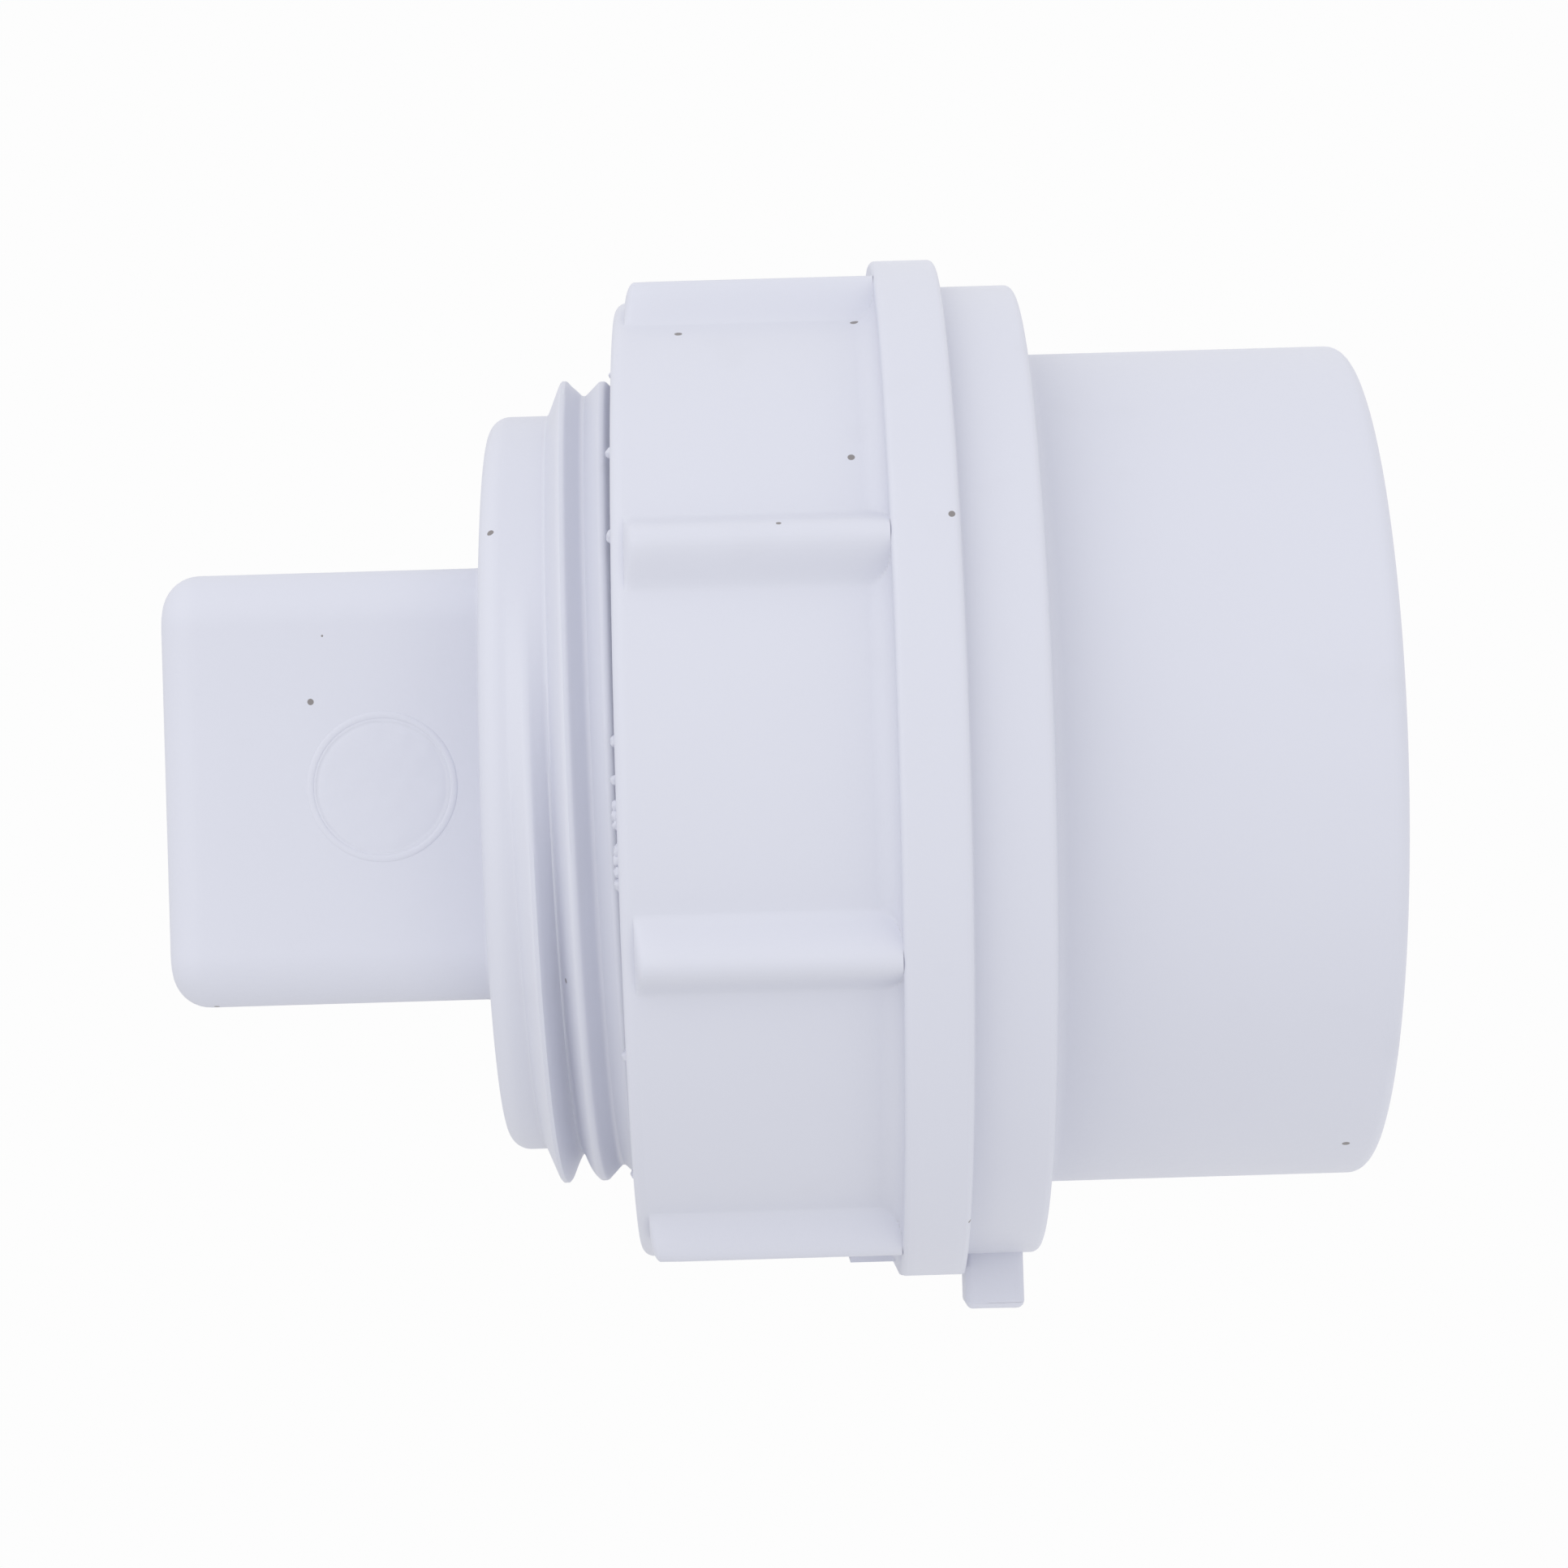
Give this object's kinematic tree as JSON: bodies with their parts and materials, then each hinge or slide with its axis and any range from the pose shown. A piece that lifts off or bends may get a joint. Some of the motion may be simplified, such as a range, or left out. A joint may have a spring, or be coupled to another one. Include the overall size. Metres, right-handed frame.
{
  "type": "threaded cleanout adapter",
  "caption": "White plastic drain cleanout adapter: plain spigot, stop collar and ribbed threaded socket, closed by a hollow threaded plug with a square head.",
  "frame": {"origin": "centre of the waterway at the spigot's open end", "axes": "+Z along the pipe axis from the spigot to the plug's square head; +X at right angles to a pair of the head's flats, opposite the moulding gate on -X"},
  "size_m": [0.0612, 0.0594, 0.0677],
  "materials": {
    "adapter_pvc": "as moulded, semi-matt bluish white",
    "plug_pvc": "as moulded, semi-matt bluish white"
  },
  "bodies": {
    "adapter": {"adapter_body": "adapter_pvc"},
    "shoulder": {"plug_shoulder": "plug_pvc"},
    "plug": {"cleanout_plug": "plug_pvc"}
  },
  "joints": [
    {"name": "plug_advance", "type": "slide", "parent": "adapter", "child": "shoulder", "axis": [0, 0, 1], "range_m": [0, 0.0144]},
    {"name": "plug_turn", "type": "hinge", "parent": "shoulder", "child": "plug", "pos_m": [0, 0, 0], "axis": [0, 0, 1], "range_deg": [0, 2340]}
  ],
  "couplings": [
    {"joint": "plug_advance", "follows": "plug_turn", "m_per_rad": 0.00035153}
  ]
}
